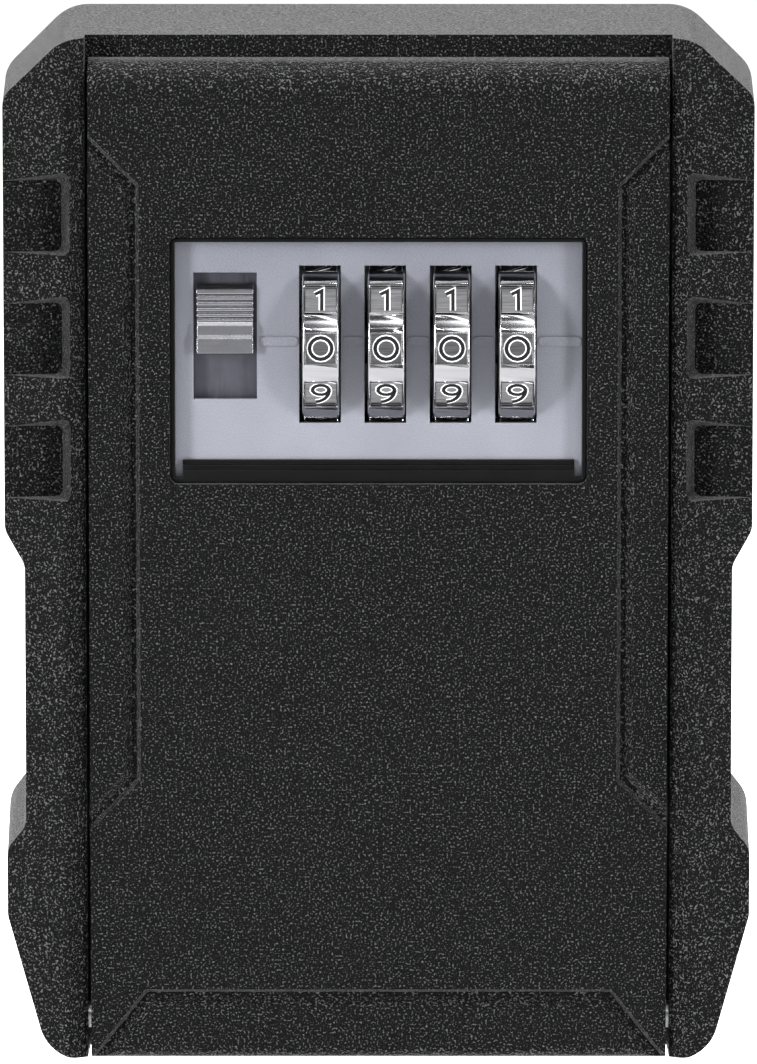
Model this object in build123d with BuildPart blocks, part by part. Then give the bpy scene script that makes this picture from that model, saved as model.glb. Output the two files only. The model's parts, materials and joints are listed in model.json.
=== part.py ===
from build123d import *
import os

# A wall-mounted key lock box with a drop-down door and a four-dial lock in the door.
# Frame: X to the right, Z up, Y into the wall. The wall plane is Y = 0 and the door faces -Y.
# The origin is the centre of the four wall screws. All sizes are in millimetres.
# A depth is a distance in front of the wall, so it lies at Y = -depth.

# ---- driving dimensions ----
BODY_DEPTH = 38.0  # wall plane to the front of the ridges
DRAFT = 2.0  # degrees, all round the housing
TOP_Z = 56.65  # front outline, top and bottom
LOBE_X = 41.2  # front outline, half width at the upper lobes
WAIST_X = 39.0  # half width at the waist
RIDGE_X = 34.7  # outer edge of each ridge
CHANNEL_X = 32.3  # half width of the door's channel and of the key cavity
HOOD_DEPTH = 32.7  # front of the hood over the door
LOBE_FRONT_DEPTH = 35.5  # depth of the side face at the lobe's outer edge
BACK_WALL = 2.5
CAVITY_Z = 54.6  # inside face of the top and bottom walls
FLOOR_FRONT_DEPTH = 27.6  # the bottom wall stops here, behind the door's barrel

SCREW_SPACING_X = 40.0  # wall screws
SCREW_SPACING_Z = 70.0
SCREW_HOLE_R = 2.4

PIN_R = 1.5  # hinge pin
PIN_DEPTH = 33.0
PIN_Z = -52.5
PIN_LEFT_X = -35.5
PIN_RIGHT_X = 37.2
BARREL_R = 4.1
RUNNING_FIT = 0.06

DOOR_X = 31.9
DOOR_TOP_Z = 54.4
DOOR_BOTTOM_Z = -56.7
DOOR_DEPTH = 37.5
DOOR_SKIN_DEPTH = 35.0  # inside face of the door's front skin
DOOR_TOP_BACK_DEPTH = 33.1
DOOR_RIM_DEPTH = 28.9
RIM_THICKNESS = 1.8
GROOVE_DEPTH = 1.05
GROOVE_WIDTH = 1.9
GROOVE_FLOOR = (0.45, 0.95)  # distances from the steep side

TRAY_X = 28.2  # outside of the lock compartment on the door's back
TRAY_BOTTOM_Z = -1.8
TRAY_TOP_Z = 51.0
TRAY_DEPTH = 20.3
TRAY_WALL = 1.8
BOSS_R = 2.6
BOSS_X = 24.2
BOSS_LOW_Z = 2.4
BOSS_HIGH_Z = 46.8

WINDOW_X = 23.0
WINDOW_LOW_Z = 7.6
WINDOW_HIGH_Z = 34.9

PANEL_BACK_DEPTH = 34.1  # back of the lock face
FACE_SCREW_X = 8.0
FACE_SCREW_LOW_Z = 3.4
FACE_SCREW_HIGH_Z = 45.5

DIAL_R = 9.25
DIAL_WIDTH = 4.06
DIAL_PITCH = 7.2
DIAL_FIRST_X = -6.35
DIAL_COUNT = 4
DIGITS = 10
AXIS_DEPTH = 30.6  # the dials' shared axis
AXIS_Z = 22.85
SPINDLE_R = 1.0
HUB_R = 2.6
FLANGE_R = 3.3  # clears the back of the lock face by 0.2
FLANGE_OFFSET = 2.23  # dial centre to the flange's near face
FLANGE_THICKNESS = 1.2
GATE_WIDTH = 1.4
GATE_FLOOR_R = 1.5
TOOTH_ZONE = 1.25  # length of the sleeve's teeth

SLIDER_SLOT = (-20.4, -13.4, 16.8, 30.8)  # left, right, bottom, top
BUTTON = (-20.0, -13.8, 21.7, 29.6)
ARM = (-21.5, -12.5, 15.5, 41.0)
BAR_X = 20.2
BAR_LOW_Z = 37.0
BAR_HIGH_Z = 41.0
FINGER_THICKNESS = 1.0
FINGER_GAP = 0.3  # fingers to flanges with the slider at rest
HOOK_X = (13.0, 19.0)
HOOK_TOP_Z = 52.0
LIP_LOW_Z = 52.3

DIAL_CENTRES = [DIAL_FIRST_X + DIAL_PITCH * i for i in range(DIAL_COUNT)]
FLANGE_MIDDLE = FLANGE_OFFSET + FLANGE_THICKNESS / 2


def block(x0, x1, depth0, depth1, z0, z1, mode=Mode.ADD):
    """A box from x0 to x1 and z0 to z1, between two depths in front of the wall."""
    with Locations(((x0 + x1) / 2, -(depth0 + depth1) / 2, (z0 + z1) / 2)):
        Box(x1 - x0, depth1 - depth0, z1 - z0, mode=mode)


def rod(x0, x1, radius, depth, z, mode=Mode.ADD):
    """A cylinder along X."""
    with Locations(Location(((x0 + x1) / 2, -depth, z), (0, 90, 0))):
        Cylinder(radius, x1 - x0, mode=mode)


def stud(x, z, radius, depth0, depth1, mode=Mode.ADD):
    """A cylinder along Y, between two depths."""
    with Locations(Location((x, -(depth0 + depth1) / 2, z), (90, 0, 0))):
        Cylinder(radius, depth1 - depth0, mode=mode)


def corners(x, z_low, z_high):
    """Four places, left and right, low and high."""
    return [(-x, z_low), (x, z_low), (-x, z_high), (x, z_high)]


def coil(start, direction, radius, wire_radius, pitch, height):
    """A helical spring that runs from start along a direction."""
    with BuildPart() as spring:
        with BuildLine():
            turns = Helix(pitch, height, radius, center=start, direction=direction)
        with BuildSketch(Plane(origin=turns @ 0, z_dir=turns % 0)):
            Circle(wire_radius)
        sweep(path=turns, is_frenet=True)
    return spring.part


def groove(points):
    """A cutter along (x, z) points on the door's face, steep on one side and gentle on the other.

    The gentle side is on the left of the path, seen from the front.
    """
    with BuildPart() as cutter:
        with BuildLine(Plane.XZ.offset(DOOR_DEPTH)) as path:
            Polyline(*points)
        along = path.line % 0
        across = along.cross(Vector(0, 1, 0))
        with BuildSketch(Plane(origin=path.line @ 0, x_dir=across, z_dir=along)):
            with BuildLine():
                Polyline(
                    (0, 0.5),
                    (0, 0),
                    (GROOVE_FLOOR[0], -GROOVE_DEPTH),
                    (GROOVE_FLOOR[1], -GROOVE_DEPTH),
                    (GROOVE_WIDTH, 0),
                    (GROOVE_WIDTH, 0.5),
                    close=True,
                )
            make_face()
        sweep(path=path.line, transition=Transition.RIGHT)
    return cutter.part


os.makedirs("parts", exist_ok=True)

# ---- housing: a die-cast box open at the front, with a ridge and lobes each side ----
right_outline = [
    (34.6, TOP_Z),
    (LOBE_X, 50.15),
    (LOBE_X, 2.3),
    (WAIST_X, -1.5),
    (WAIST_X, -30.7),
    (41.1, -33.4),
    (41.1, -40.9),
    (36.6, -TOP_Z),
]
left_outline = [(-x, z) for x, z in reversed(right_outline)]
FOOT_RADIUS = 4.5
TOP_RADIUS = 4.0
SIDE_RADIUS = 2.5
LIP_THICKNESS = 2.0
BOSS_HEIGHT = 2.0
WALL_BOSS_R = 6.5
COUNTERSINK_R = 4.4
RIDGE_TOP = 0.4  # flat left on top of each ridge
BEVEL_DEPTH = 1.6
PAD_FLOOR_X = 34.9  # inner end of a pad's floor
PAD_INNER_DEPTH = 34.3
PAD_OUTER_DEPTH = 35.4  # floor depth at the lobe's edge
PAD_HEIGHT = 7.85
PAD_REACH = 5.0  # height over which the walls lean
PAD_TOP_LEAN = 1.4  # how far each wall leans over that height
PAD_FOOT_LEAN = 0.2
PAD_SIDE_LEAN = 0.6
PAD_CORNER_R = 0.8
PAD_PITCH = 13.6
PAD_TOP_MIDDLE_Z = 37.05
PAD_LENGTH = 12.0
CORE_DEPTH = 31.0
CORE_INNER_X = RIDGE_X + 0.3
LOBE_CORES = [(39.0, 4.5, 48.0), (36.8, -28.5, -3.5), (38.9, -45.0, -35.5)]  # outer x, low, high

with BuildPart() as housing:
    with BuildSketch(Plane.XZ.offset(BODY_DEPTH)) as outline:
        with BuildLine():
            Polyline(*right_outline, *left_outline, close=True)
        make_face()
        fillet(outline.vertices().group_by(Axis.Y)[1:-1], SIDE_RADIUS)
        fillet(outline.vertices().group_by(Axis.Y)[-1], TOP_RADIUS)
        fillet(outline.vertices().group_by(Axis.Y)[0], FOOT_RADIUS)
    extrude(amount=-BODY_DEPTH, taper=-DRAFT)
    # side faces slope back from the ridges, and each ridge is bevelled towards the door
    slope = (BODY_DEPTH - LOBE_FRONT_DEPTH) / (LOBE_X - RIDGE_X)
    reach = 12.0
    with BuildSketch(Plane.XY.offset(-2 * TOP_Z)):
        with BuildLine():
            Polyline(
                (RIDGE_X, -BODY_DEPTH),
                (RIDGE_X, -BODY_DEPTH - 1),
                (RIDGE_X + reach, -BODY_DEPTH - 1),
                (RIDGE_X + reach, -BODY_DEPTH + slope * reach),
                close=True,
            )
        make_face()
        with BuildLine():
            Polyline(
                (RIDGE_X - RIDGE_TOP, -BODY_DEPTH),
                (RIDGE_X - RIDGE_TOP, -BODY_DEPTH - 1),
                (CHANNEL_X - 1, -BODY_DEPTH - 1),
                (CHANNEL_X - 1, -BODY_DEPTH + BEVEL_DEPTH),
                (CHANNEL_X, -BODY_DEPTH + BEVEL_DEPTH),
                close=True,
            )
        make_face()
        mirror(about=Plane.YZ)
    extrude(amount=4 * TOP_Z, mode=Mode.SUBTRACT)
    # the door's channel, the key cavity and the gap that the barrel swings through
    block(-CHANNEL_X, CHANNEL_X, HOOD_DEPTH, BODY_DEPTH + 1, -60, 60, Mode.SUBTRACT)
    block(-CHANNEL_X, CHANNEL_X, BACK_WALL, BODY_DEPTH, -CAVITY_Z, CAVITY_Z, Mode.SUBTRACT)
    block(-CHANNEL_X, CHANNEL_X, FLOOR_FRONT_DEPTH, BODY_DEPTH, -60, -50, Mode.SUBTRACT)
    # strike lip that the bolt hooks catch
    lip_back = HOOD_DEPTH - LIP_THICKNESS
    block(-CHANNEL_X, CHANNEL_X, lip_back, HOOD_DEPTH, LIP_LOW_Z, CAVITY_Z)
    # three recessed grip pads down each side, shallower outwards, with their walls leaning back
    pad_run = LOBE_X - PAD_FLOOR_X
    for side in (-1, 1):
        pad_rise = side * (PAD_OUTER_DEPTH - PAD_INNER_DEPTH)
        for row in range(3):
            floor = Plane(
                origin=(side * PAD_FLOOR_X, -PAD_INNER_DEPTH, PAD_TOP_MIDDLE_Z - PAD_PITCH * row),
                x_dir=(pad_run, -pad_rise, 0),
                z_dir=(-pad_rise, -pad_run, 0),
            )
            with BuildSketch(floor):
                with Locations((side * PAD_LENGTH / 2, 0)):
                    RectangleRounded(PAD_LENGTH, PAD_HEIGHT, PAD_CORNER_R)
            with BuildSketch(floor.offset(PAD_REACH)):
                shift_x = side * (PAD_LENGTH - PAD_SIDE_LEAN) / 2
                with Locations((shift_x, (PAD_TOP_LEAN - PAD_FOOT_LEAN) / 2)):
                    RectangleRounded(
                        PAD_LENGTH + PAD_SIDE_LEAN,
                        PAD_HEIGHT + PAD_TOP_LEAN + PAD_FOOT_LEAN,
                        PAD_CORNER_R,
                    )
            loft(mode=Mode.SUBTRACT)
    # lightening cores in the lobes, open at the back
    for outer_x, low_z, high_z in LOBE_CORES:
        block(CORE_INNER_X, outer_x, -1, CORE_DEPTH, low_z, high_z, Mode.SUBTRACT)
        block(-outer_x, -CORE_INNER_X, -1, CORE_DEPTH, low_z, high_z, Mode.SUBTRACT)
    # wall screws in raised bosses
    boss_depth = BACK_WALL + BOSS_HEIGHT
    for x, z in corners(SCREW_SPACING_X / 2, -SCREW_SPACING_Z / 2, SCREW_SPACING_Z / 2):
        stud(x, z, WALL_BOSS_R, 0, boss_depth)
    with Locations(Plane.XZ.offset(boss_depth)):
        with GridLocations(SCREW_SPACING_X, SCREW_SPACING_Z, 2, 2):
            CounterSinkHole(SCREW_HOLE_R, COUNTERSINK_R, counter_sink_angle=90)
    # hinge pin hole, blind on the left and open on the right
    rod(PIN_LEFT_X, LOBE_X + 5, PIN_R, PIN_DEPTH, PIN_Z, Mode.SUBTRACT)
housing.part.label = "housing"
export_step(housing.part, "parts/housing.step")

# ---- hinge pin ----
with BuildPart() as hinge_pin:
    rod(PIN_LEFT_X, PIN_RIGHT_X, PIN_R, PIN_DEPTH, PIN_Z)
    chamfer(hinge_pin.edges().filter_by(GeomType.CIRCLE), 0.3)
hinge_pin.part.label = "hinge_pin"
export_step(hinge_pin.part, "parts/hinge_pin.step")

# ---- door: skin, rims, hinge barrel and the tray that holds the lock ----
DOOR_TOP_RADIUS = 4.0
DOOR_FOOT_RADIUS = 1.5
GROOVE_INNER_X = 26.3
GROOVE_HIGH_Z = 40.7
GROOVE_LOW_Z = -25.5
GROOVE_RUN_OUT = 8.0  # sideways past the corner, beyond the door's edge
FOOT_GROOVE_X = 25.9
FOOT_GROOVE_Z = -48.9
FOOT_GROOVE_SLOPE = 1.26  # fall for each millimetre outwards
HOOK_SLOT_GAP = 0.4
HOOK_SLOT_DEPTH = (28.0, 30.8)
COVER_SCREW_HOLE = 8.0
FACE_SCREW_HOLE = 1.5
FACE_SCREW_R = 0.9
COVER_SCREW_R = 1.0

side_groove = groove(
    [
        (GROOVE_INNER_X + GROOVE_RUN_OUT, GROOVE_HIGH_Z + GROOVE_RUN_OUT),
        (GROOVE_INNER_X, GROOVE_HIGH_Z),
        (GROOVE_INNER_X, GROOVE_LOW_Z),
        (GROOVE_INNER_X + GROOVE_RUN_OUT, GROOVE_LOW_Z - GROOVE_RUN_OUT),
    ]
)
foot_end_x = FOOT_GROOVE_X + GROOVE_RUN_OUT
foot_end_z = FOOT_GROOVE_Z - GROOVE_RUN_OUT * FOOT_GROOVE_SLOPE
foot_groove = groove(
    [
        (foot_end_x, foot_end_z),
        (FOOT_GROOVE_X, FOOT_GROOVE_Z),
        (-FOOT_GROOVE_X, FOOT_GROOVE_Z),
        (-foot_end_x, foot_end_z),
    ]
)

with BuildPart() as door:
    block(-DOOR_X, DOOR_X, DOOR_SKIN_DEPTH, DOOR_DEPTH, DOOR_BOTTOM_Z, DOOR_TOP_Z)
    block(-DOOR_X, DOOR_X, DOOR_TOP_BACK_DEPTH, DOOR_DEPTH, TRAY_TOP_Z - 1, DOOR_TOP_Z)
    front_edges = door.edges().filter_by(Axis.X).group_by(Axis.Y)[0].sort_by(Axis.Z)
    fillet(front_edges[-1], DOOR_TOP_RADIUS)
    front_edges = door.edges().filter_by(Axis.X).group_by(Axis.Y)[0].sort_by(Axis.Z)
    fillet(front_edges[0], DOOR_FOOT_RADIUS)
    for side in (-1, 1):
        rim = sorted((side * DOOR_X, side * (DOOR_X - RIM_THICKNESS)))
        block(*rim, DOOR_RIM_DEPTH, DOOR_SKIN_DEPTH, PIN_Z, TRAY_TOP_Z)
    rod(-DOOR_X, DOOR_X, BARREL_R, PIN_DEPTH, PIN_Z)
    rod(-DOOR_X - 1, DOOR_X + 1, PIN_R + RUNNING_FIT, PIN_DEPTH, PIN_Z, Mode.SUBTRACT)
    # tray
    inner_x = TRAY_X - TRAY_WALL
    inner_low_z = TRAY_BOTTOM_Z + TRAY_WALL
    inner_high_z = TRAY_TOP_Z - TRAY_WALL
    block(-TRAY_X, TRAY_X, TRAY_DEPTH, DOOR_SKIN_DEPTH, TRAY_BOTTOM_Z, TRAY_TOP_Z)
    block(-inner_x, inner_x, TRAY_DEPTH, DOOR_SKIN_DEPTH, inner_low_z, inner_high_z, Mode.SUBTRACT)
    for x, z in corners(BOSS_X, BOSS_LOW_Z, BOSS_HIGH_Z):
        stud(x, z, BOSS_R, TRAY_DEPTH, DOOR_SKIN_DEPTH)
        stud(x, z, COVER_SCREW_R, TRAY_DEPTH, TRAY_DEPTH + COVER_SCREW_HOLE, Mode.SUBTRACT)
    for x, z in corners(FACE_SCREW_X, FACE_SCREW_LOW_Z, FACE_SCREW_HIGH_Z):
        screw_end = DOOR_SKIN_DEPTH + FACE_SCREW_HOLE
        stud(x, z, FACE_SCREW_R, DOOR_SKIN_DEPTH, screw_end, Mode.SUBTRACT)
    for side in (-1, 1):
        slot = sorted((side * (HOOK_X[0] - HOOK_SLOT_GAP), side * (HOOK_X[1] + HOOK_SLOT_GAP)))
        block(*slot, *HOOK_SLOT_DEPTH, inner_high_z - 1, TRAY_TOP_Z + 1, Mode.SUBTRACT)
    # window
    with BuildSketch(Plane.XZ.offset(DOOR_DEPTH + 1)):
        with Locations((0, (WINDOW_LOW_Z + WINDOW_HIGH_Z) / 2)):
            RectangleRounded(2 * WINDOW_X, WINDOW_HIGH_Z - WINDOW_LOW_Z, 1.0)
    extrude(amount=DOOR_SKIN_DEPTH - DOOR_DEPTH - 1, mode=Mode.SUBTRACT)
    # grooves in the front face
    add(side_groove, mode=Mode.SUBTRACT)
    mirror(side_groove, about=Plane.YZ, mode=Mode.SUBTRACT)
    add(foot_groove, mode=Mode.SUBTRACT)
door.part.label = "door"
export_step(door.part, "parts/door.step")

# ---- lock face: the silver panel with its index marks, and cheeks behind it for the spindle ----
PANEL_X = 26.1
PANEL_LOW_Z = 0.3
PANEL_HIGH_Z = 48.9
DIAL_SLOT_LEFT = 2.4  # dial centre to the slot's left edge
DIAL_SLOT_RIGHT = 2.2
DIAL_SLOT_HALF_Z = 8.72
LEFT_CHEEK = (-12.1, -11.1)
RIGHT_CHEEK = (23.5, 25.0)
CHEEK_HALF_Z = 5.3
CHEEK_BACK_DEPTH = 25.5
MARK_LOW_Z = AXIS_Z - 0.15
MARK_HIGH_Z = AXIS_Z + 0.85
MARK_HEIGHT = 0.25
MARK_GAP = 0.15  # mark to slot
MARK_LEFT_X = -13.0
MARK_RIGHT_X = 22.3

with BuildPart() as lock_face:
    block(-PANEL_X, PANEL_X, PANEL_BACK_DEPTH, DOOR_SKIN_DEPTH, PANEL_LOW_Z, PANEL_HIGH_Z)
    for x, z in corners(BOSS_X, BOSS_LOW_Z, BOSS_HIGH_Z):
        stud(x, z, BOSS_R + 0.3, PANEL_BACK_DEPTH, DOOR_SKIN_DEPTH, Mode.SUBTRACT)
    for x, z in corners(FACE_SCREW_X, FACE_SCREW_LOW_Z, FACE_SCREW_HIGH_Z):
        stud(x, z, FACE_SCREW_R + 0.1, PANEL_BACK_DEPTH, DOOR_SKIN_DEPTH, Mode.SUBTRACT)
    for left_x, right_x in (LEFT_CHEEK, RIGHT_CHEEK):
        block(
            left_x, right_x, CHEEK_BACK_DEPTH, PANEL_BACK_DEPTH,
            AXIS_Z - CHEEK_HALF_Z, AXIS_Z + CHEEK_HALF_Z,
        )
    rod(LEFT_CHEEK[0], RIGHT_CHEEK[1], SPINDLE_R, AXIS_DEPTH, AXIS_Z, Mode.SUBTRACT)
    left_x, right_x, low_z, high_z = SLIDER_SLOT
    block(left_x, right_x, PANEL_BACK_DEPTH, DOOR_SKIN_DEPTH, low_z, high_z, Mode.SUBTRACT)
    mark_starts = [MARK_LEFT_X]
    mark_ends = []
    for centre in DIAL_CENTRES:
        left_x = centre - DIAL_SLOT_LEFT
        right_x = centre + DIAL_SLOT_RIGHT
        block(
            left_x, right_x, PANEL_BACK_DEPTH, DOOR_SKIN_DEPTH,
            AXIS_Z - DIAL_SLOT_HALF_Z, AXIS_Z + DIAL_SLOT_HALF_Z, Mode.SUBTRACT,
        )
        mark_ends.append(left_x - MARK_GAP)
        mark_starts.append(right_x + MARK_GAP)
    mark_ends.append(MARK_RIGHT_X)
    # raised index marks between the dials
    with BuildSketch(Plane.XZ.offset(DOOR_SKIN_DEPTH)):
        for start_x, end_x in zip(mark_starts, mark_ends):
            with Locations(((start_x + end_x) / 2, (MARK_LOW_Z + MARK_HIGH_Z) / 2)):
                SlotOverall(end_x - start_x, MARK_HIGH_Z - MARK_LOW_Z)
    extrude(amount=MARK_HEIGHT)
lock_face.part.label = "lock_face"
export_step(lock_face.part, "parts/lock_face.step")

# ---- window bezel: a thin frame with a stepped ledge along the bottom ----
BEZEL_GAP = 0.1
BEZEL_THICKNESS = 0.5
LEDGE_STEPS = [(10.1, 35.6), (9.6, 36.1), (9.1, 36.7)]  # top height and front depth
LEDGE_X = 21.6

with BuildPart() as window_bezel:
    outer_x = WINDOW_X - BEZEL_GAP
    low_z = WINDOW_LOW_Z + BEZEL_GAP
    high_z = WINDOW_HIGH_Z - BEZEL_GAP
    with BuildSketch(Plane.XZ.offset(DOOR_SKIN_DEPTH)):
        with Locations((0, (low_z + high_z) / 2)):
            RectangleRounded(2 * outer_x, high_z - low_z, 0.9)
            Rectangle(
                2 * (outer_x - BEZEL_THICKNESS),
                high_z - low_z - 2 * BEZEL_THICKNESS,
                mode=Mode.SUBTRACT,
            )
    extrude(amount=LEDGE_STEPS[-1][1] - DOOR_SKIN_DEPTH)
    for step_z, step_depth in LEDGE_STEPS:
        block(-LEDGE_X, LEDGE_X, DOOR_SKIN_DEPTH, step_depth, low_z + BEZEL_THICKNESS / 2, step_z)
window_bezel.part.label = "window_bezel"
export_step(window_bezel.part, "parts/window_bezel.step")

# ---- dials: ten digit panels round each, and ten tooth slots inside the right face ----
PANEL_LENGTH = 3.4  # round the rim
PANEL_FLOOR_R = 8.7
RIM_WIDTH = 0.28
BORE_R = HUB_R + RUNNING_FIT
TOOTH_SLOT_WIDTH = 1.0
TOOTH_SLOT_R = FLANGE_R + 0.1
TOOTH_WIDTH = 0.8


def dial_ring(centre_x):
    """A plane across the dials' axis. Its x points to the front, and its y points down."""
    return Plane(origin=(centre_x, -AXIS_DEPTH, AXIS_Z), x_dir=(0, -1, 0), z_dir=(1, 0, 0))


TO_TOP = -90  # degrees from the front to the top in that plane

for number, centre in enumerate(DIAL_CENTRES, start=1):
    slot_middle_x = centre + DIAL_WIDTH / 2 - (TOOTH_ZONE + 0.1) / 2
    with BuildPart() as dial:
        rod(centre - DIAL_WIDTH / 2, centre + DIAL_WIDTH / 2, DIAL_R, AXIS_DEPTH, AXIS_Z)
        chamfer(dial.edges().filter_by(GeomType.CIRCLE), 0.15)
        with Locations(dial_ring(centre)):
            with PolarLocations(PANEL_FLOOR_R + 1, DIGITS):
                Box(2, PANEL_LENGTH, DIAL_WIDTH - 2 * RIM_WIDTH, mode=Mode.SUBTRACT)
        with Locations(dial_ring(slot_middle_x)):
            with PolarLocations(TOOTH_SLOT_R - 1, DIGITS, start_angle=TO_TOP):
                Box(2, TOOTH_SLOT_WIDTH, TOOTH_ZONE + 0.1, mode=Mode.SUBTRACT)
        rod(centre - DIAL_WIDTH, centre + DIAL_WIDTH, BORE_R, AXIS_DEPTH, AXIS_Z, Mode.SUBTRACT)
    dial.part.label = f"dial_{number}"
    export_step(dial.part, f"parts/dial_{number}.step")

# ---- sleeves: a hub in each dial, ten teeth, and a flange with a gate for the fence ----
HUB_LEFT = 3.6  # dial centre to the hub's left end

for number, centre in enumerate(DIAL_CENTRES, start=1):
    flange_left = centre + FLANGE_OFFSET
    flange_right = flange_left + FLANGE_THICKNESS
    tooth_middle_x = centre + DIAL_WIDTH / 2 - TOOTH_ZONE / 2
    with BuildPart() as sleeve:
        rod(centre - HUB_LEFT, flange_right, HUB_R, AXIS_DEPTH, AXIS_Z)
        rod(flange_left, flange_right, FLANGE_R, AXIS_DEPTH, AXIS_Z)
        with Locations(dial_ring(tooth_middle_x)):
            with PolarLocations(HUB_R, DIGITS, start_angle=TO_TOP):
                Box(2 * (FLANGE_R - HUB_R), TOOTH_WIDTH, TOOTH_ZONE)
        # the gate: a groove in the top of the flange and on through the teeth, so that the
        # fence holds the sleeve while the lever slides it, and one across the teeth's far side
        groove_left = centre + DIAL_WIDTH / 2 - TOOTH_ZONE - 0.1
        gate = (-AXIS_DEPTH - GATE_WIDTH / 2, -AXIS_DEPTH + GATE_WIDTH / 2)
        block(
            groove_left, flange_right + 1, -gate[1], -gate[0],
            AXIS_Z + GATE_FLOOR_R, AXIS_Z + FLANGE_R + 1, Mode.SUBTRACT,
        )
        block(
            groove_left, flange_left, -gate[1], -gate[0],
            AXIS_Z - FLANGE_R - 1, AXIS_Z - GATE_FLOOR_R, Mode.SUBTRACT,
        )
        rod(
            centre - DIAL_PITCH, centre + DIAL_PITCH, SPINDLE_R + RUNNING_FIT,
            AXIS_DEPTH, AXIS_Z, Mode.SUBTRACT,
        )
    sleeve.part.label = f"sleeve_{number}"
    export_step(sleeve.part, f"parts/sleeve_{number}.step")

# ---- spindle, its clip and the sleeves' return spring ----
SPINDLE_RIGHT_X = 26.1
CLIP_GROOVE_R = 0.75
CLIP_R = 2.2
CLIP_LEFT_X = RIGHT_CHEEK[1] + 0.05
CLIP_THICKNESS = 0.5

with BuildPart() as spindle:
    rod(LEFT_CHEEK[0], SPINDLE_RIGHT_X, SPINDLE_R, AXIS_DEPTH, AXIS_Z)
    chamfer(spindle.edges().filter_by(GeomType.CIRCLE), 0.2)
    with BuildSketch(Plane.YZ.offset(CLIP_LEFT_X)):
        with Locations((-AXIS_DEPTH, AXIS_Z)):
            Circle(SPINDLE_R + 1)
            Circle(CLIP_GROOVE_R, mode=Mode.SUBTRACT)
    extrude(amount=CLIP_THICKNESS, mode=Mode.SUBTRACT)
spindle.part.label = "spindle"
export_step(spindle.part, "parts/spindle.step")

with BuildPart() as spindle_clip:
    with BuildSketch(Plane.YZ.offset(CLIP_LEFT_X)):
        with Locations((-AXIS_DEPTH, AXIS_Z)):
            Circle(CLIP_R)
            Circle(CLIP_GROOVE_R, mode=Mode.SUBTRACT)
        with Locations((-AXIS_DEPTH + CLIP_R, AXIS_Z)):
            Rectangle(2 * CLIP_R, 1.2, mode=Mode.SUBTRACT)
    extrude(amount=CLIP_THICKNESS)
spindle_clip.part.label = "spindle_clip"
export_step(spindle_clip.part, "parts/spindle_clip.step")

RESET_WIRE_R = 0.25
reset_spring = coil(
    (20.75, -AXIS_DEPTH, AXIS_Z), (1, 0, 0), 1.6, RESET_WIRE_R, 0.8, 2.4
)
reset_spring.label = "reset_spring"
export_step(reset_spring, "parts/reset_spring.step")

# ---- reset lever: a fork over the spindle, with a thumb tab behind the back cover ----
FORK_LEFT_X = -11.0
FORK_THICKNESS = 0.9
FORK_HALF_Z = 3.6
FORK_DEPTH = (24.5, 33.0)
STEM_HALF_Z = 2.2
COVER_DEPTH = 19.3
TAB_DEPTH = 17.6
TAB_X = (-13.6, -7.5)
TAB_HALF_Z = 3.4
TAB_GAP = 0.3  # tab to back cover
TAB_RIBS = (-12.4, -10.9, -9.4)
TAB_RIB = (0.7, 0.6, 2.8)  # width, height, half length

with BuildPart() as reset_lever:
    fork_right = FORK_LEFT_X + FORK_THICKNESS
    block(FORK_LEFT_X, fork_right, *FORK_DEPTH, AXIS_Z - FORK_HALF_Z, AXIS_Z + FORK_HALF_Z)
    stem_depth = (TAB_DEPTH, FORK_DEPTH[0])
    block(FORK_LEFT_X, fork_right, *stem_depth, AXIS_Z - STEM_HALF_Z, AXIS_Z + STEM_HALF_Z)
    throat = SPINDLE_R + 0.25
    block(
        FORK_LEFT_X, fork_right, AXIS_DEPTH, FORK_DEPTH[1],
        AXIS_Z - throat, AXIS_Z + throat, Mode.SUBTRACT,
    )
    rod(FORK_LEFT_X, fork_right, throat, AXIS_DEPTH, AXIS_Z, Mode.SUBTRACT)
    block(*TAB_X, TAB_DEPTH, COVER_DEPTH - TAB_GAP, AXIS_Z - TAB_HALF_Z, AXIS_Z + TAB_HALF_Z)
    rib_width, rib_height, rib_half_z = TAB_RIB
    for rib_x in TAB_RIBS:
        block(
            rib_x, rib_x + rib_width, TAB_DEPTH - rib_height, TAB_DEPTH,
            AXIS_Z - rib_half_z, AXIS_Z + rib_half_z,
        )
reset_lever.part.label = "reset_lever"
export_step(reset_lever.part, "parts/reset_lever.step")

# ---- detent spring: a leaf on the back cover with a finger behind each dial ----
LEAF_THICKNESS = 0.3
LEAF_FINGER_WIDTH = 2.6
LEAF_FOOT = (9.0, 13.0)  # heights of the strip that joins the fingers
LEAF_BEND_Z = 19.0
LEAF_TIP_Z = 25.5
LEAF_REACH = 0.42  # how far the fingers stand off the cover

with BuildPart() as detent_spring:
    leaf_front = TRAY_DEPTH + LEAF_THICKNESS
    block(
        DIAL_CENTRES[0] - LEAF_FINGER_WIDTH, DIAL_CENTRES[-1] + LEAF_FINGER_WIDTH,
        TRAY_DEPTH, leaf_front, *LEAF_FOOT,
    )
    for centre in DIAL_CENTRES:
        with BuildSketch(Plane.YZ.offset(centre - LEAF_FINGER_WIDTH / 2)):
            with BuildLine():
                Polyline(
                    (-TRAY_DEPTH, LEAF_FOOT[1] - 1),
                    (-leaf_front, LEAF_FOOT[1] - 1),
                    (-leaf_front, LEAF_FOOT[1] + 1),
                    (-leaf_front - LEAF_REACH, LEAF_BEND_Z),
                    (-leaf_front - LEAF_REACH, LEAF_TIP_Z),
                    (-TRAY_DEPTH - LEAF_REACH, LEAF_TIP_Z),
                    (-TRAY_DEPTH - LEAF_REACH, LEAF_BEND_Z),
                    (-TRAY_DEPTH, LEAF_FOOT[1] + 1),
                    close=True,
                )
            make_face()
        extrude(amount=LEAF_FINGER_WIDTH)
detent_spring.part.label = "detent_spring"
export_step(detent_spring.part, "parts/detent_spring.step")

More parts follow.
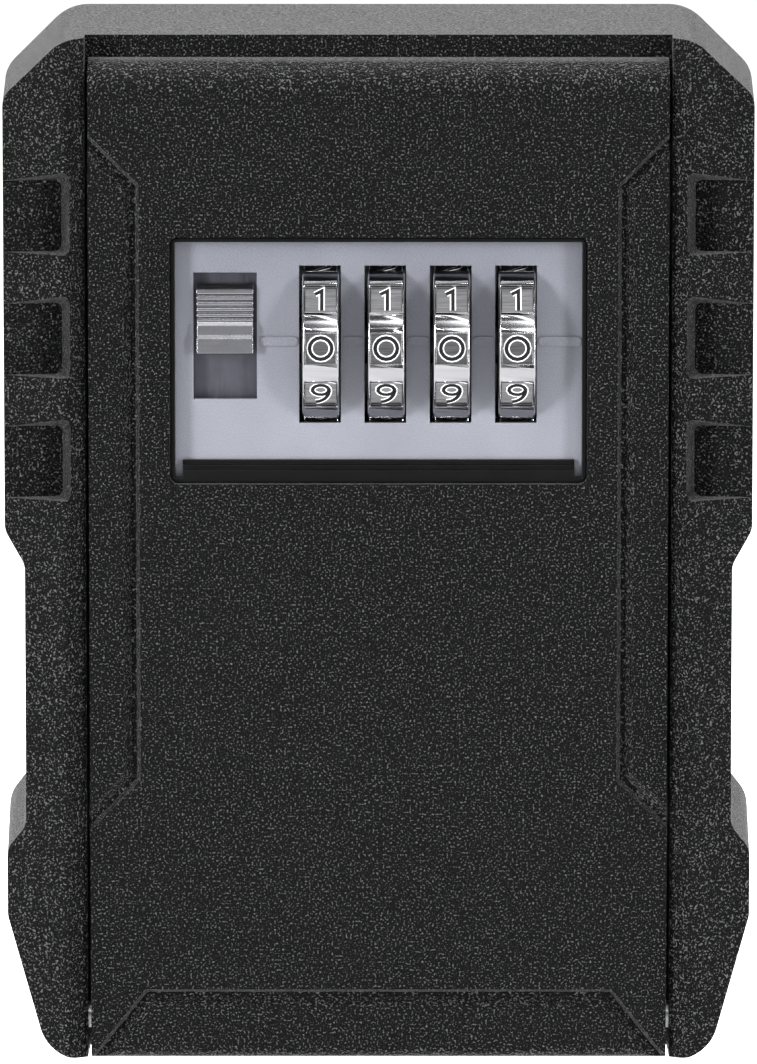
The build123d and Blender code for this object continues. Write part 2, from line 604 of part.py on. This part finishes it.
# ---- bolt plate: arm behind the slider slot, cross bar, fence fingers and two hooks ----
ARM_DEPTH = (30.9, 33.4)
BAR_DEPTH = (28.4, 31.4)
FINGER_DEPTH = (30.1, 31.1)
HOOK_DEPTH = (28.4, 30.4)
finger_low_z = AXIS_Z + FLANGE_R + FINGER_GAP

with BuildPart() as bolt_plate:
    block(-BAR_X, BAR_X, *BAR_DEPTH, BAR_LOW_Z, BAR_HIGH_Z)
    block(ARM[0], ARM[1], *ARM_DEPTH, ARM[2], ARM[3])
    for centre in DIAL_CENTRES:
        finger_x = centre + FLANGE_MIDDLE - FINGER_THICKNESS / 2
        block(finger_x, finger_x + FINGER_THICKNESS, *FINGER_DEPTH, finger_low_z, BAR_LOW_Z)
    for left_x, right_x in (HOOK_X, (-HOOK_X[1], -HOOK_X[0])):
        block(left_x, right_x, *HOOK_DEPTH, BAR_HIGH_Z, HOOK_TOP_Z)
    # slam bevel on the back of each hook
    hook_tops = bolt_plate.faces().group_by(Axis.Z)[-1]
    chamfer([face.edges().filter_by(Axis.X).sort_by(Axis.Y)[-1] for face in hook_tops], 1.0)
bolt_plate.part.label = "bolt_plate"
export_step(bolt_plate.part, "parts/bolt_plate.step")

# ---- slider button: two steps back towards the top, then fine ribs ----
BUTTON_EDGE_DEPTH = 35.2
BUTTON_PROFILE = [  # depth and height, from the bottom edge up to the ribs
    (36.4, 22.0), (36.4, 23.6), (36.1, 24.0), (36.1, 25.0), (35.8, 25.35),
]
RIB_COUNT = 5
RIB_PITCH = 0.64
RIB_FIRST_Z = 25.65
RIB_DEPTH = 0.2
BUTTON_SHOULDER_Z = 29.0

with BuildPart() as slider_button:
    left_x, right_x, low_z, high_z = BUTTON
    front_depth = BUTTON_PROFILE[-1][0]
    profile = [(ARM_DEPTH[1], low_z), (BUTTON_EDGE_DEPTH, low_z), *BUTTON_PROFILE]
    for rib in range(RIB_COUNT):
        rib_z = RIB_FIRST_Z + RIB_PITCH * rib
        profile += [
            (front_depth, rib_z),
            (front_depth - RIB_DEPTH, rib_z + RIB_PITCH * 0.15),
            (front_depth - RIB_DEPTH, rib_z + RIB_PITCH * 0.35),
            (front_depth, rib_z + RIB_PITCH * 0.5),
        ]
    profile += [
        (front_depth, BUTTON_SHOULDER_Z), (BUTTON_EDGE_DEPTH, high_z), (ARM_DEPTH[1], high_z),
    ]
    with BuildSketch(Plane.YZ.offset(left_x)):
        with BuildLine():
            Polyline([(-depth, z) for depth, z in profile], close=True)
        make_face()
    extrude(amount=right_x - left_x)
slider_button.part.label = "slider_button"
export_step(slider_button.part, "parts/slider_button.step")

# ---- slider spring: stands on the tray's floor under the arm ----
SPRING_WIRE_R = 0.28
spring_base_z = TRAY_BOTTOM_Z + TRAY_WALL + SPRING_WIRE_R + 0.05
spring_height = ARM[2] - spring_base_z - SPRING_WIRE_R - 0.05
slider_spring = coil(
    ((ARM[0] + ARM[1]) / 2, -sum(ARM_DEPTH) / 2, spring_base_z), (0, 0, 1),
    1.2, SPRING_WIRE_R, spring_height / 9, spring_height,
)
slider_spring.label = "slider_spring"
export_step(slider_spring, "parts/slider_spring.step")

# ---- back cover and the screws ----
COVER_X = 27.6
COVER_LOW_Z = -1.2
COVER_HIGH_Z = 50.4
LEVER_SLOT = (-11.6, -8.0, 20.1, 25.6)
PAN_HEAD_R = 2.1
PAN_HEAD_HEIGHT = 1.3
SMALL_HEAD_R = 1.6
SMALL_HEAD_HEIGHT = 1.1
CROSS_WIDTH = 0.45
CROSS_DEPTH = 0.6

with BuildPart() as back_cover:
    with BuildSketch(Plane.XZ.offset(COVER_DEPTH)):
        with Locations((0, (COVER_LOW_Z + COVER_HIGH_Z) / 2)):
            RectangleRounded(2 * COVER_X, COVER_HIGH_Z - COVER_LOW_Z, 2.0)
        with Locations(corners(BOSS_X, BOSS_LOW_Z, BOSS_HIGH_Z)):
            Circle(COVER_SCREW_R + 0.25, mode=Mode.SUBTRACT)
        left_x, right_x, low_z, high_z = LEVER_SLOT
        with Locations(((left_x + right_x) / 2, (low_z + high_z) / 2)):
            Rectangle(right_x - left_x, high_z - low_z, mode=Mode.SUBTRACT)
    extrude(amount=TRAY_DEPTH - COVER_DEPTH)
back_cover.part.label = "back_cover"
export_step(back_cover.part, "parts/back_cover.step")


def screws(places, shank_r, head_r, head_height, seat_depth, length):
    """Cross-head screws whose heads face the wall and whose shanks run towards the front."""
    with BuildPart() as group:
        for x, z in places:
            stud(x, z, shank_r, seat_depth, seat_depth + length)
            stud(x, z, head_r, seat_depth - head_height, seat_depth)
            head_back = seat_depth - head_height
            for half_x, half_z in ((head_r * 0.6, CROSS_WIDTH / 2), (CROSS_WIDTH / 2, head_r * 0.6)):
                block(
                    x - half_x, x + half_x, head_back, head_back + CROSS_DEPTH,
                    z - half_z, z + half_z, Mode.SUBTRACT,
                )
    return group.part


back_cover_screws = screws(
    corners(BOSS_X, BOSS_LOW_Z, BOSS_HIGH_Z),
    COVER_SCREW_R, PAN_HEAD_R, PAN_HEAD_HEIGHT, COVER_DEPTH, 7.0,
)
back_cover_screws.label = "back_cover_screws"
export_step(back_cover_screws, "parts/back_cover_screws.step")

lock_face_screws = screws(
    corners(FACE_SCREW_X, FACE_SCREW_LOW_Z, FACE_SCREW_HIGH_Z),
    FACE_SCREW_R, SMALL_HEAD_R, SMALL_HEAD_HEIGHT, PANEL_BACK_DEPTH,
    DOOR_SKIN_DEPTH - PANEL_BACK_DEPTH + 1.3,
)
lock_face_screws.label = "lock_face_screws"
export_step(lock_face_screws, "parts/lock_face_screws.step")
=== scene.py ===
import bmesh
import bpy
import json
import math
from mathutils import Matrix, Vector


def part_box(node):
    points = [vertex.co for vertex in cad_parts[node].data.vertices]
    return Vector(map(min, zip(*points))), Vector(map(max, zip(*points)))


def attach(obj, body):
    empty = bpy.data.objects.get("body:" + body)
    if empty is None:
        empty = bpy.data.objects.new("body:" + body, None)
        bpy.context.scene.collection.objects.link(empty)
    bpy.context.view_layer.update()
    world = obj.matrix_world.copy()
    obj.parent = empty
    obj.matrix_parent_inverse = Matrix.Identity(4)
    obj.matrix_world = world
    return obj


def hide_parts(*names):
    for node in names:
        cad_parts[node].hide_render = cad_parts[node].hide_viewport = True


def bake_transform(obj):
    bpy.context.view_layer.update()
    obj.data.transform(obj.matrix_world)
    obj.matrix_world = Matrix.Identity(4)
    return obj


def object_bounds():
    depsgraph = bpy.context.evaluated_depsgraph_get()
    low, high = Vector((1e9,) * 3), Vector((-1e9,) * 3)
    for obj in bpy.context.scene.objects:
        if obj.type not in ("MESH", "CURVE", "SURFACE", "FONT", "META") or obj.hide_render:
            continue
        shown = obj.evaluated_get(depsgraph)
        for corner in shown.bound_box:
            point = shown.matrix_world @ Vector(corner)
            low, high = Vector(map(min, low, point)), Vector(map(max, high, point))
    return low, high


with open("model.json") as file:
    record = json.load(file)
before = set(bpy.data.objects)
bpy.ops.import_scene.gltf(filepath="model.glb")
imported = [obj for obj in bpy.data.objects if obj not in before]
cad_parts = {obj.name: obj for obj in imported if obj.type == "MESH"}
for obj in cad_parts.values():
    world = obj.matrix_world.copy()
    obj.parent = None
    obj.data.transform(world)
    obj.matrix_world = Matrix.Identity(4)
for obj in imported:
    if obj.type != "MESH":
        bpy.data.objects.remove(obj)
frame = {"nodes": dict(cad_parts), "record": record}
cad_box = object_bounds()

MM = 0.001
DIAL_NUMBERS = (1, 2, 3, 4)

# ---- material helpers ----
# stretches that draw a noise out into lines along one axis
ALONG_X = (0.05, 1, 1)
ALONG_Y = (1, 0.05, 1)
ALONG_Z = (1, 1, 0.05)


def put(tree, kind, sockets=None, **settings):
    """Adds a node. A socket's value is either a number, a colour or another node's output."""
    made = tree.nodes.new(kind)
    for key, value in settings.items():
        setattr(made, key, value)
    for key, value in (sockets or {}).items():
        if isinstance(value, bpy.types.NodeSocket):
            tree.links.new(value, made.inputs[key])
        else:
            made.inputs[key].default_value = value
    return made


def new_material(name):
    """A material with its tree, its shader and coordinates in millimetres."""
    material = bpy.data.materials.new(name)
    material.use_nodes = True
    tree = material.node_tree
    shader = tree.nodes["Principled BSDF"]
    place = put(tree, "ShaderNodeTexCoord").outputs["Object"]
    scaled = put(tree, "ShaderNodeVectorMath", {0: place}, operation="SCALE")
    scaled.inputs["Scale"].default_value = 1 / MM
    return material, tree, shader, scaled.outputs["Vector"]


def noise(tree, coords, scale, detail=2.0, stretch=(1, 1, 1), roughness=0.5):
    """Noise with a scale in features for each millimetre, stretched along an axis."""
    mapped = put(tree, "ShaderNodeMapping", {"Vector": coords, "Scale": stretch})
    made = put(
        tree,
        "ShaderNodeTexNoise",
        {
            "Vector": mapped.outputs["Vector"],
            "Scale": scale,
            "Detail": detail,
            "Roughness": roughness,
        },
    )
    return made.outputs["Fac"]


def ramp(tree, value, low, high, to_low=0.0, to_high=1.0):
    """Maps low..high of a value onto to_low..to_high, and holds it at both ends."""
    made = put(
        tree,
        "ShaderNodeMapRange",
        {
            "Value": value,
            "From Min": low,
            "From Max": high,
            "To Min": to_low,
            "To Max": to_high,
        },
    )
    return made.outputs["Result"]


def mix(tree, factor, first, second):
    """A colour between two colours."""
    made = put(tree, "ShaderNodeMix", data_type="RGBA")
    tree.links.new(factor, made.inputs["Factor"])
    for socket, colour in ((made.inputs[6], first), (made.inputs[7], second)):
        if isinstance(colour, bpy.types.NodeSocket):
            tree.links.new(colour, socket)
        else:
            socket.default_value = (*colour, 1.0)
    return made.outputs[2]


def math_node(tree, operation, first, second):
    """The result of one arithmetic step on two values."""
    made = put(tree, "ShaderNodeMath", {0: first, 1: second}, operation=operation)
    return made.outputs["Value"]


def vector_math(tree, operation, first, second=(0, 0, 0)):
    """The node of one step on vectors."""
    return put(tree, "ShaderNodeVectorMath", {0: first, 1: second}, operation=operation)


def bump(tree, shader, height, strength, distance):
    """Bends a shader's normal by a height. The distance is in millimetres."""
    made = put(
        tree,
        "ShaderNodeBump",
        {"Height": height, "Strength": strength, "Distance": distance * MM},
    )
    tree.links.new(made.outputs["Normal"], shader.inputs["Normal"])


def height_of(tree, coords):
    """Height above the origin, in millimetres."""
    return put(tree, "ShaderNodeSeparateXYZ", {0: coords}).outputs["Z"]


# ---- materials ----
def powder_coat():
    """Black sand-textured powder coat whose grain tops catch the light. Upper faces are matt and painted
    lighter, as painted light from above.
    """
    material, tree, shader, coords = new_material("black_powder_coat")
    grain = noise(tree, coords, 3.2, 2.0, roughness=0.6)
    fine = noise(tree, coords, 4.4, 1.0)
    tops = ramp(tree, fine, 0.58, 0.68)
    cloud = noise(tree, coords, 0.08, 2.0)
    dark = mix(tree, cloud, (0.0008, 0.0008, 0.0009), (0.0016, 0.0016, 0.0017))
    coat_colour = mix(tree, tops, dark, (0.045, 0.045, 0.046))
    # painted top light: faces that look up get a lighter grey grain colour, standing in for light from
    # above
    painted_top_light = mix(tree, ramp(tree, grain, 0.35, 0.65), (0.035, 0.035, 0.035), (0.115, 0.115, 0.115))
    facing = put(tree, "ShaderNodeTexCoord").outputs["Normal"]
    upper = ramp(tree, put(tree, "ShaderNodeSeparateXYZ", {0: facing}).outputs["Z"], 0.9, 0.99)
    tree.links.new(mix(tree, upper, coat_colour, painted_top_light), shader.inputs["Base Color"])
    coat_gloss = ramp(tree, tops, 0.0, 1.0, 0.05, 0.5)
    gloss = math_node(tree, "MULTIPLY", coat_gloss, ramp(tree, upper, 0.0, 1.0, 1.0, 0.1))
    tree.links.new(gloss, shader.inputs["Specular IOR Level"])
    tree.links.new(ramp(tree, upper, 0.0, 1.0, 0.12, 0.02), shader.inputs["Sheen Weight"])
    shader.inputs["Sheen Roughness"].default_value = 0.25
    tree.links.new(ramp(tree, grain, 0.3, 0.7, 0.6, 0.3), shader.inputs["Roughness"])
    height = math_node(tree, "ADD", grain, math_node(tree, "MULTIPLY", tops, 0.4))
    bump(tree, shader, height, 1.0, 0.4)
    return material


def black_plastic():
    """Satin black trim round the window."""
    material, tree, shader, coords = new_material("black_plastic")
    cloud = noise(tree, coords, 0.35, 3.0)
    colour = mix(tree, cloud, (0.001, 0.001, 0.001), (0.003, 0.003, 0.003))
    tree.links.new(colour, shader.inputs["Base Color"])
    shader.inputs["Specular IOR Level"].default_value = 0.1
    fine = noise(tree, coords, 6.0, 2.0)
    tree.links.new(ramp(tree, fine, 0.3, 0.7, 0.32, 0.42), shader.inputs["Roughness"])
    bump(tree, shader, fine, 0.3, 0.02)
    return material


def silver_panel():
    """Satin silver enamel with a violet cast and a fine metal flake, with painted shade darkening it
    towards the top.
    """
    material, tree, shader, coords = new_material("silver_panel")
    low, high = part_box("window_bezel")
    # painted shade: the enamel is coloured darker towards the top of the window and lighter towards the
    # bottom
    painted_shade_height = ramp(tree, height_of(tree, coords), low.z / MM, high.z / MM)
    base = mix(tree, painted_shade_height, (0.203, 0.209, 0.242), (0.13, 0.135, 0.16))
    flake = noise(tree, coords, 9.0, 1.0)
    cloud = noise(tree, coords, 0.12, 2.0)
    sparkle = ramp(tree, flake, 0.45, 0.75, 0.0, 0.12)
    colour = mix(tree, sparkle, base, (0.75, 0.75, 0.8))
    tree.links.new(colour, shader.inputs["Base Color"])
    shader.inputs["Metallic"].default_value = 0.55
    tree.links.new(ramp(tree, cloud, 0.3, 0.7, 0.34, 0.44), shader.inputs["Roughness"])
    bump(tree, shader, flake, 0.25, 0.01)
    return material


def brushed_metal(name, colour, dark, roughness, stretch, scratch=0.3):
    """Metal with fine lines along one axis, a cloudy tone and varied gloss."""
    material, tree, shader, coords = new_material(name)
    lines = noise(tree, coords, 6.0, 4.0, stretch)
    cloud = noise(tree, coords, 0.5, 3.0)
    tone = math_node(tree, "MULTIPLY", lines, cloud)
    tree.links.new(
        mix(tree, ramp(tree, tone, 0.12, 0.4), dark, colour), shader.inputs["Base Color"]
    )
    shader.inputs["Metallic"].default_value = 1.0
    low, high = roughness
    tree.links.new(ramp(tree, lines, 0.3, 0.7, low, high), shader.inputs["Roughness"])
    bump(tree, shader, lines, scratch, 0.01)
    return material


DIAL_LAND_RADIUS = (8.95, 9.1)  # the panels' floors lie inside it, and the lands between them outside


def dial_chrome():
    """Bright plating, brushed, with painted shade making the floors of the digit panels darker."""
    material, tree, shader, coords = new_material("dial_chrome")
    low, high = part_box("dial_1")
    centre = (low + high) / 2 / MM
    axis = (0, centre.y, centre.z)
    from_axis = vector_math(tree, "SUBTRACT", coords, axis).outputs["Vector"]
    across_axis = vector_math(tree, "MULTIPLY", from_axis, (0, 1, 1)).outputs["Vector"]
    radius = vector_math(tree, "LENGTH", across_axis).outputs["Value"]
    land = ramp(tree, radius, *DIAL_LAND_RADIUS)
    lines = noise(tree, coords, 6.0, 4.0, ALONG_X)
    # painted shade: the recessed floors of the digit panels are coloured darker than the lands between
    # them
    floor = mix(tree, ramp(tree, lines, 0.35, 0.65), (0.115, 0.115, 0.12), (0.19, 0.19, 0.20))
    top = mix(tree, lines, (0.25, 0.25, 0.262), (0.32, 0.32, 0.335))
    tree.links.new(mix(tree, land, floor, top), shader.inputs["Base Color"])
    shader.inputs["Metallic"].default_value = 1.0
    tree.links.new(ramp(tree, land, 0.0, 1.0, 0.3, 0.18), shader.inputs["Roughness"])
    bump(tree, shader, lines, 0.08, 0.01)
    return material


def digit_paint():
    """Black paint that fills the engraved digits."""
    material, tree, shader, coords = new_material("digit_paint")
    cloud = noise(tree, coords, 4.0, 2.0)
    colour = mix(tree, cloud, (0.004, 0.004, 0.004), (0.012, 0.012, 0.013))
    tree.links.new(colour, shader.inputs["Base Color"])
    tree.links.new(ramp(tree, cloud, 0.3, 0.7, 0.4, 0.55), shader.inputs["Roughness"])
    shader.inputs["Specular IOR Level"].default_value = 0.1
    return material


def digit_painted_glint():
    """A painted highlight: satin metal round each digit, coloured lighter than the panel that it stands
    on.
    """
    material, tree, shader, coords = new_material("digit_painted_glint")
    cloud = noise(tree, coords, 3.0, 2.0)
    colour = mix(tree, cloud, (0.72, 0.72, 0.74), (0.9, 0.9, 0.92))
    tree.links.new(colour, shader.inputs["Base Color"])
    tree.links.new(ramp(tree, cloud, 0.3, 0.7, 0.25, 0.35), shader.inputs["Roughness"])
    shader.inputs["Metallic"].default_value = 0.35
    return material


def floor_paper():
    """Matt studio paper, white under and behind the object and greyer towards the viewer."""
    material, tree, shader, coords = new_material("floor_paper")
    cloud = noise(tree, coords, 0.02, 2.0)
    white = mix(tree, cloud, (0.93, 0.93, 0.93), (0.95, 0.95, 0.95))
    towards = put(tree, "ShaderNodeSeparateXYZ", {0: coords}).outputs["Y"]
    near = ramp(tree, towards, -400.0, -60.0, 1.0, 0.0)
    colour = mix(tree, near, white, (0.3, 0.3, 0.3))
    tree.links.new(colour, shader.inputs["Base Color"])
    shader.inputs["Roughness"].default_value = 0.9
    return material


looks = {
    "black_powder_coat": powder_coat(),
    "black_plastic": black_plastic(),
    "silver_panel": silver_panel(),
    "dial_chrome": dial_chrome(),
    "button_silver": brushed_metal(
        "button_silver", (0.30, 0.30, 0.32), (0.25, 0.25, 0.27), (0.18, 0.24), ALONG_X, 0.04
    ),
    "bolt_metal": brushed_metal(
        "bolt_metal", (0.085, 0.086, 0.102), (0.068, 0.069, 0.083), (0.4, 0.5), ALONG_Z, 0.1
    ),
    "steel": brushed_metal(
        "steel", (0.62, 0.62, 0.63), (0.42, 0.42, 0.42), (0.25, 0.42), ALONG_X
    ),
    "spring_steel": brushed_metal(
        "spring_steel", (0.55, 0.55, 0.57), (0.3, 0.3, 0.31), (0.2, 0.35), ALONG_Z
    ),
    "screw_steel": brushed_metal(
        "screw_steel", (0.68, 0.68, 0.69), (0.45, 0.45, 0.45), (0.18, 0.32), ALONG_Y
    ),
    "black_steel": brushed_metal(
        "black_steel", (0.03, 0.03, 0.032), (0.012, 0.012, 0.013), (0.35, 0.5), ALONG_Y
    ),
}


# ---- CAD nodes: materials and rounded edges ----
def dress(node, look):
    """Gives a CAD node its material, in every slot."""
    mesh = frame["nodes"][node].data
    mesh.materials.clear()
    mesh.materials.append(look)


def soften(node, width):
    """Rounds a CAD node's sharp edges by a small width, in millimetres."""
    thing = frame["nodes"][node]
    weld = thing.modifiers.new("weld", "WELD")
    weld.merge_threshold = 0.0005 * MM
    rounded = thing.modifiers.new("edge_radius", "BEVEL")
    rounded.width = width * MM
    rounded.segments = 3
    rounded.limit_method = "ANGLE"
    rounded.angle_limit = math.radians(28)
    rounded.harden_normals = True
    rounded.use_clamp_overlap = True


for part in frame["record"]["subparts"]:
    dress(part["node"], looks[part["material_slot"]])

EDGE_RADIUS = {
    "housing": 0.45,
    "door": 0.3,
    "lock_face": 0.12,
    "window_bezel": 0.1,
    "slider_button": 0.08,
    "bolt_plate": 0.2,
    "back_cover": 0.15,
    "reset_lever": 0.12,
}
for node, width in EDGE_RADIUS.items():
    soften(node, width)
for number in DIAL_NUMBERS:
    soften(f"dial_{number}", 0.1)


# ---- digits ----
# a digit is drawn on a grid from -1 to 1 both ways, then scaled to this half size
DIGIT_HALF_WIDTH = 1.22 * MM
DIGIT_HALF_HEIGHT = 1.25 * MM
DIGITS = 10
DIGIT_STROKE = 0.4 * MM
DIGIT_GLINT_WIDTH = 0.66 * MM  # width of the bright band round each stroke, a painted highlight that the stroke is cut into
DIGIT_ROOT = -0.05 * MM  # a little under the panel's floor
GLINT_HEIGHT = 0.03 * MM
STROKE_HEIGHT = 0.06 * MM


def arc(x, y, radius_x, radius_y, start, end, steps=10):
    """Points along an elliptical arc, in degrees."""
    angles = [math.radians(start + (end - start) * i / steps) for i in range(steps + 1)]
    return [(x + radius_x * math.cos(a), y + radius_y * math.sin(a)) for a in angles]


def strokes_of(digit):
    """A plain digit as strokes on a grid from -1 to 1."""
    if digit == 0:
        return [arc(0, 0, 1, 0.95, 22.5, 382.5, 16)]
    if digit == 1:
        return [[(-0.5, 0.62), (0.1, 0.95), (0.1, -1.0)]]
    if digit == 2:
        return [arc(0, 0.4, 0.75, 0.58, 165, -35, 8) + [(-0.8, -0.95), (0.8, -0.95)]]
    if digit == 3:
        return [arc(0, 0.47, 0.7, 0.48, 150, -80, 8) + arc(0, -0.47, 0.78, 0.5, 80, -150, 8)]
    if digit == 4:
        return [[(0.4, -1.0), (0.4, 0.95), (-0.8, -0.45), (0.85, -0.45)]]
    if digit == 5:
        return [[(0.65, 0.95), (-0.6, 0.95), (-0.65, 0.15)] + arc(0, -0.35, 0.75, 0.62, 125, -150, 9)]
    if digit == 6:
        return [arc(0.55, -0.35, 1.3, 1.35, 100, 165, 5) + arc(0, -0.4, 0.75, 0.58, 160, -200, 12)]
    if digit == 7:
        return [[(-0.7, 0.95), (0.75, 0.95), (-0.2, -1.0)]]
    if digit == 8:
        return [arc(0, 0.47, 0.62, 0.47, -90, 270, 10), arc(0, -0.5, 0.75, 0.5, 90, 450, 10)]
    return [arc(0, 0.4, 0.75, 0.56, -20, 340, 12) + arc(-0.55, 0.3, 1.3, 1.3, -5, -85, 6)]


def ribbon(bm, points, width, place, bottom, top):
    """A flat closed bar along points, mitred at its corners. place puts (x, y, height) in space."""
    closed = (Vector(points[0]) - Vector(points[-1])).length < 1e-6
    if closed:
        points = points[:-1]
    count = len(points)
    rings = []
    for i, point in enumerate(points):
        here = Vector(point)
        before = Vector(points[i - 1]) if i or closed else None
        after = Vector(points[(i + 1) % count]) if i < count - 1 or closed else None
        into = (here - before).normalized() if before is not None else None
        out = (after - here).normalized() if after is not None else None
        along = ((into or out) + (out or into)).normalized()
        side = Vector((-along.y, along.x))
        straight = Vector((-(into or out).y, (into or out).x))
        reach = width / 2 / max(0.5, side.dot(straight))
        left, right = here + side * reach, here - side * reach
        rings.append(
            [
                bm.verts.new(place(p.x, p.y, h))
                for p, h in ((left, bottom), (left, top), (right, top), (right, bottom))
            ]
        )
    pairs = [(i, i + 1) for i in range(count - 1)] + ([(count - 1, 0)] if closed else [])
    for a, b in pairs:
        for k in range(4):
            bm.faces.new((rings[a][k], rings[a][(k + 1) % 4], rings[b][(k + 1) % 4], rings[b][k]))
    if not closed:
        bm.faces.new(rings[0])
        bm.faces.new(list(reversed(rings[-1])))


def panel_floor(number):
    """Distance from a dial's axis to the floor of its digit panels."""
    low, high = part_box(f"dial_{number}")
    centre = (low + high) / 2
    side = (high.x - low.x) / 8
    near_front = [
        centre.y - v.co.y
        for v in frame["nodes"][f"dial_{number}"].data.vertices
        if abs(v.co.x - centre.x) > side
        and abs(v.co.z - centre.z) < 2 * MM
        and v.co.y < centre.y - 5 * MM
    ]
    return min(near_front)


floor_radius = panel_floor(1)


def digit_ring(number, name, width, top, look):
    """All ten digits of a dial as one object, on the floors of its panels."""
    low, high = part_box(f"dial_{number}")
    centre = (low + high) / 2
    bm = bmesh.new()
    for digit in range(DIGITS):
        turn = Matrix.Rotation(-2 * math.pi * digit / DIGITS, 3, "X")
        to_front = turn @ Vector((0, -1, 0))
        to_up = turn @ Vector((0, 0, 1))

        def place(x, y, height):
            across = Vector((x * DIGIT_HALF_WIDTH, 0, 0))
            up = to_up * (y * DIGIT_HALF_HEIGHT)
            return centre + across + up + to_front * (floor_radius + height)

        for points in strokes_of(digit):
            ribbon(bm, points, width / DIGIT_HALF_WIDTH, place, DIGIT_ROOT, top)
    bmesh.ops.recalc_face_normals(bm, faces=bm.faces)
    mesh = bpy.data.meshes.new(name)
    bm.to_mesh(mesh)
    bm.free()
    thing = bpy.data.objects.new(name, mesh)
    bpy.context.scene.collection.objects.link(thing)
    mesh.materials.append(look)
    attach(thing, f"dial_{number}")


paint = digit_paint()
glint = digit_painted_glint()
for number in DIAL_NUMBERS:
    # each digit sits in a bright band, a painted highlight round its stroke
    digit_ring(number, f"dial_{number}_digit_painted_glints", DIGIT_GLINT_WIDTH, GLINT_HEIGHT, glint)
    digit_ring(number, f"dial_{number}_digits", DIGIT_STROKE, STROKE_HEIGHT, paint)

# ---- slider spring: a copy of its mesh, fixed in place, stands in for the CAD spring ----
coil = bpy.data.objects.new("slider_coil", frame["nodes"]["slider_spring"].data.copy())
bpy.context.scene.collection.objects.link(coil)
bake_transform(coil)
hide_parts("slider_spring")

# ---- floor ----
FLOOR_HALF_WIDTH = 2.0
FLOOR_NEAR = -2.0
FLOOR_FAR = 5.0
FLOOR_BELOW = 20 * MM  # the box hangs on a wall, and its open door drops below its foot
floor_z = cad_box[0].z - FLOOR_BELOW
floor_mesh = bpy.data.meshes.new("floor")
floor_mesh.from_pydata(
    [
        (-FLOOR_HALF_WIDTH, FLOOR_NEAR, floor_z),
        (FLOOR_HALF_WIDTH, FLOOR_NEAR, floor_z),
        (FLOOR_HALF_WIDTH, FLOOR_FAR, floor_z),
        (-FLOOR_HALF_WIDTH, FLOOR_FAR, floor_z),
    ],
    [],
    [(0, 1, 2, 3)],
)
floor = bpy.data.objects.new("floor", floor_mesh)
bpy.context.scene.collection.objects.link(floor)
floor_mesh.materials.append(floor_paper())


# ---- light ----
def softbox(name, place, target, width, height, power):
    """A rectangular area light that faces its target."""
    data = bpy.data.lights.new(name, "AREA")
    data.shape = "RECTANGLE"
    data.size = width
    data.size_y = height
    data.energy = power
    light = bpy.data.objects.new(name, data)
    light.location = place
    light.rotation_euler = (Vector(target) - Vector(place)).to_track_quat("-Z", "Y").to_euler()
    bpy.context.scene.collection.objects.link(light)


softbox("top_light", (0.0, 0.15, 0.9), (0, 0, 0), 1.2, 0.8, 18)
softbox("front_light", (0.0, -1.1, 0.8), (0, 0, 0), 1.0, 0.24, 6)
softbox("right_light", (0.85, -0.85, 0.1), (0, 0, 0), 0.2, 0.7, 22)
softbox("left_light", (-0.85, -0.85, 0.1), (0, 0, 0), 0.2, 0.7, 34)


WORLD_FRONT = 0.05
WORLD_BACK = 1.3
WORLD_TOP = 1.4


def studio_world():
    """A pale surround, bright overhead and behind, and dim in front of the object."""
    world = bpy.data.worlds.new("studio")
    world.use_nodes = True
    tree = world.node_tree
    direction = put(tree, "ShaderNodeTexCoord").outputs["Generated"]
    parts = put(tree, "ShaderNodeSeparateXYZ", {0: direction})
    behind = ramp(tree, parts.outputs["Y"], -0.2, 0.5, WORLD_FRONT, WORLD_BACK)
    above = ramp(tree, parts.outputs["Z"], 0.35, 0.9, 0.0, WORLD_TOP)
    tree.links.new(
        math_node(tree, "MAXIMUM", behind, above),
        tree.nodes["Background"].inputs["Strength"],
    )
    tree.nodes["Background"].inputs["Color"].default_value = (1, 1, 1, 1)
    return world


bpy.context.scene.world = studio_world()
bpy.context.scene.view_settings.view_transform = "Standard"

# ---- camera ----
ELEVATION = math.radians(7.5)
DISTANCE = 0.95
LENS = 286.2
middle = (cad_box[0] + cad_box[1]) / 2
camera_data = bpy.data.cameras.new("camera")
camera_data.sensor_width = 36
camera_data.lens = LENS
camera = bpy.data.objects.new("camera", camera_data)
bpy.context.scene.collection.objects.link(camera)
camera.location = middle + DISTANCE * Vector((0, -math.cos(ELEVATION), math.sin(ELEVATION)))
camera.rotation_euler = (middle - camera.location).to_track_quat("-Z", "Y").to_euler()
camera_data.clip_end = 20
bpy.context.scene.camera = camera
